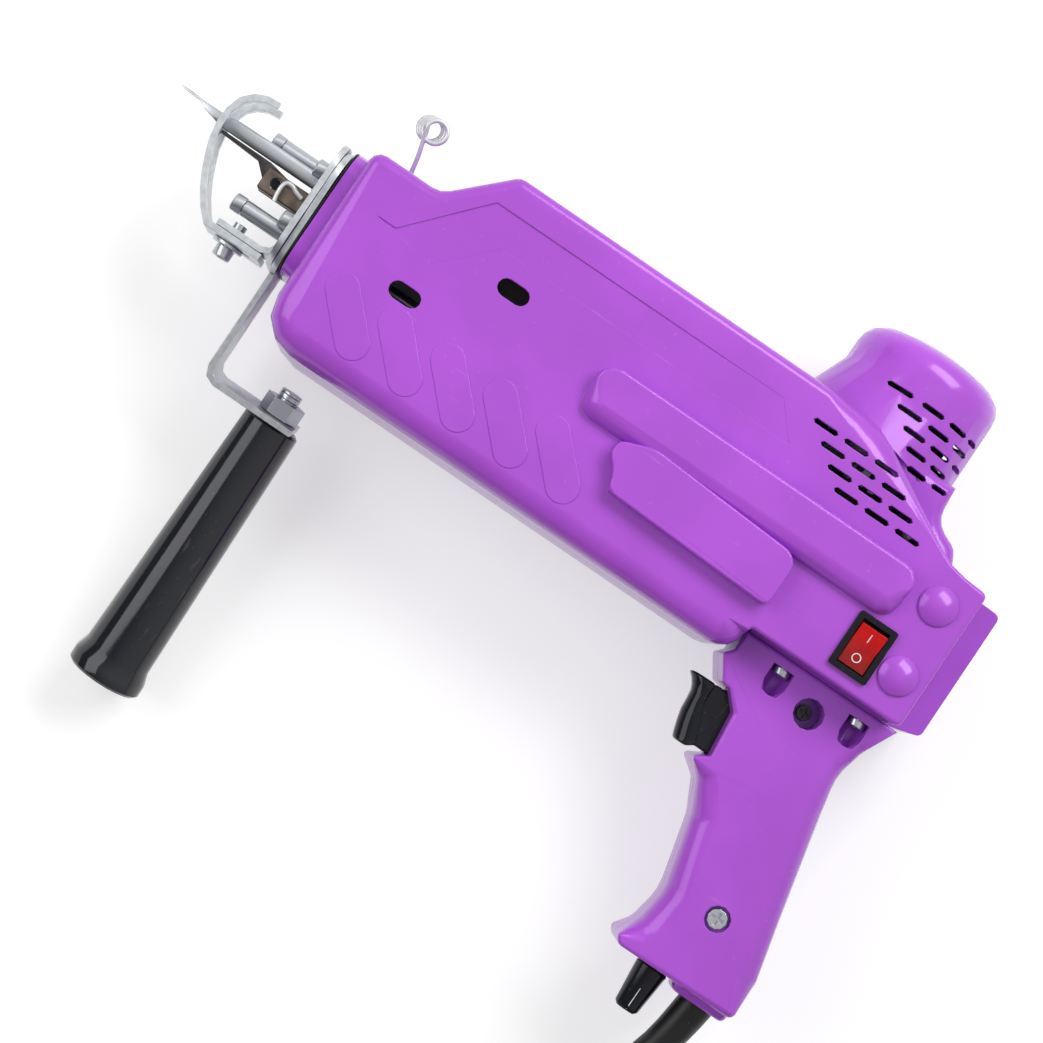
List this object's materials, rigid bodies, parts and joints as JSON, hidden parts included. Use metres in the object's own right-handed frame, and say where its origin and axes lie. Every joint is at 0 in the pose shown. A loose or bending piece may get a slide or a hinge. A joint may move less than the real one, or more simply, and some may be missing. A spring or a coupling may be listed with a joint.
{
  "type": "handheld tufting machine",
  "caption": "Handheld electric tufting machine: moulded body with pistol grip and trigger, geared needle drive, forked foot, thread cutter, swinging front handle, speed knob and mains lead.",
  "frame": {"origin": "on the outer face of the right side's long rail, below the crossing of the needle's axis and the motor's axis", "axes": "+X towards the rear of the machine, +Y towards the motor bump, +Z towards the machine's left side, up when it lies on its right side"},
  "size_m": [0.3367, 0.4392, 0.0821],
  "materials": {
    "purple_plastic": "gloss",
    "black_plastic": "gloss",
    "red_plastic": "gloss",
    "zinc_steel": "satin",
    "dark_steel": "satin",
    "brass": "satin",
    "cast_metal": "matte",
    "black_rubber": "matte",
    "board_green": "matte"
  },
  "bodies": {
    "machine": {"left_shell": "purple_plastic", "right_shell": "purple_plastic", "grip_left": "purple_plastic", "grip_right": "purple_plastic", "trigger_switch": "black_plastic", "rocker_bezel": "black_plastic", "grip_screw_high": "zinc_steel", "grip_screw_low": "zinc_steel", "flange_screw_front": "zinc_steel", "flange_screw_rear": "zinc_steel", "potentiometer": "zinc_steel", "foot_bracket": "zinc_steel", "post_upper": "zinc_steel", "post_lower": "zinc_steel", "blade_pivot": "zinc_steel", "thread_hook": "zinc_steel", "foot_bolt": "zinc_steel", "foot_washer": "zinc_steel", "yarn_guide": "zinc_steel", "yarn_guide_screw": "zinc_steel", "motor": "dark_steel", "plate_screw_1": "dark_steel", "plate_screw_2": "dark_steel", "plate_screw_3": "dark_steel", "post_screw_upper": "dark_steel", "post_screw_lower": "dark_steel", "cutter_holder": "dark_steel", "fixed_blade": "dark_steel", "gear_bearing": "brass", "front_bush": "brass", "rear_bush": "brass", "main_frame": "cast_metal", "nose_gasket": "black_rubber", "strain_relief": "black_rubber", "cord": "black_rubber", "cord_coil": "black_rubber", "plug": "black_rubber", "speed_board": "board_green"},
    "crank": {"drive_gear": "dark_steel", "crank_pin": "zinc_steel"},
    "motor_rotor": {"motor_shaft": "zinc_steel"},
    "rod": {"connecting_rod": "zinc_steel"},
    "needle_carriage": {"slider_block": "cast_metal", "wrist_pin": "zinc_steel", "needle_bar": "zinc_steel", "needle": "zinc_steel", "needle_clamp_screw": "dark_steel"},
    "cutter_slide": {"cutter_rod": "zinc_steel"},
    "cutter_blade": {"moving_blade": "dark_steel"},
    "foot": {"presser_foot": "zinc_steel"},
    "handle": {"handle_bracket": "zinc_steel", "handle_bolt": "zinc_steel", "handle_nut": "zinc_steel", "handle_grip": "black_plastic"},
    "trigger_lever": {"trigger": "black_plastic"},
    "switch_rocker": {"rocker": "red_plastic"},
    "knob": {"speed_knob": "black_plastic"}
  },
  "joints": [
    {"name": "crank_turn", "type": "hinge", "parent": "machine", "child": "crank", "pos_m": [0, 0, 0.033], "axis": [0, 0, 1], "range_deg": [0, 180]},
    {"name": "needle_stroke", "type": "slide", "parent": "machine", "child": "needle_carriage", "axis": [1, 0, 0], "range_m": [0, 0.026]},
    {"name": "motor_spin", "type": "hinge", "parent": "machine", "child": "motor_rotor", "pos_m": [0, 0, 0.041], "axis": [0, 1, 0], "range_deg": [0, 540]},
    {"name": "rod_swing", "type": "hinge", "parent": "needle_carriage", "child": "rod", "pos_m": [-0.083, 0, 0.041], "axis": [0, 0, 1], "range_deg": [-11, 0]},
    {"name": "cutter_drive", "type": "slide", "parent": "machine", "child": "cutter_slide", "axis": [1, 0, 0], "range_m": [0, 0.006]},
    {"name": "blade_shear", "type": "hinge", "parent": "machine", "child": "cutter_blade", "pos_m": [-0.2234, -0.00889, 0.041], "axis": [0, 0, 1], "range_deg": [0, 12]},
    {"name": "foot_slide", "type": "slide", "parent": "machine", "child": "foot", "axis": [1, 0, 0], "range_m": [-0.006, 0.002]},
    {"name": "handle_swivel", "type": "hinge", "parent": "machine", "child": "handle", "pos_m": [-0.206, -0.0096, 0.041], "axis": [1, 0, 0], "range_deg": [-95, 80]},
    {"name": "trigger_pull", "type": "slide", "parent": "machine", "child": "trigger_lever", "axis": [1, 0, 0], "range_m": [0, 0.005], "stiffness_N_per_m": 300},
    {"name": "rocker_tilt", "type": "hinge", "parent": "machine", "child": "switch_rocker", "pos_m": [0.0288, -0.0292, 0.0751], "axis": [-1, 0, 0], "range_deg": [0, 20]},
    {"name": "knob_turn", "type": "hinge", "parent": "machine", "child": "knob", "pos_m": [0.0345, -0.1581, 0.041], "axis": [0, -1, 0], "range_deg": [-150, 150]}
  ],
  "couplings": [
    {"joint": "needle_stroke", "follows": "crank_turn", "m_per_rad": 0.0082761},
    {"joint": "motor_spin", "follows": "crank_turn", "ratio": 3},
    {"joint": "cutter_drive", "follows": "crank_turn", "m_per_rad": 0.0019099},
    {"joint": "blade_shear", "follows": "crank_turn", "ratio": 0.066667}
  ]
}
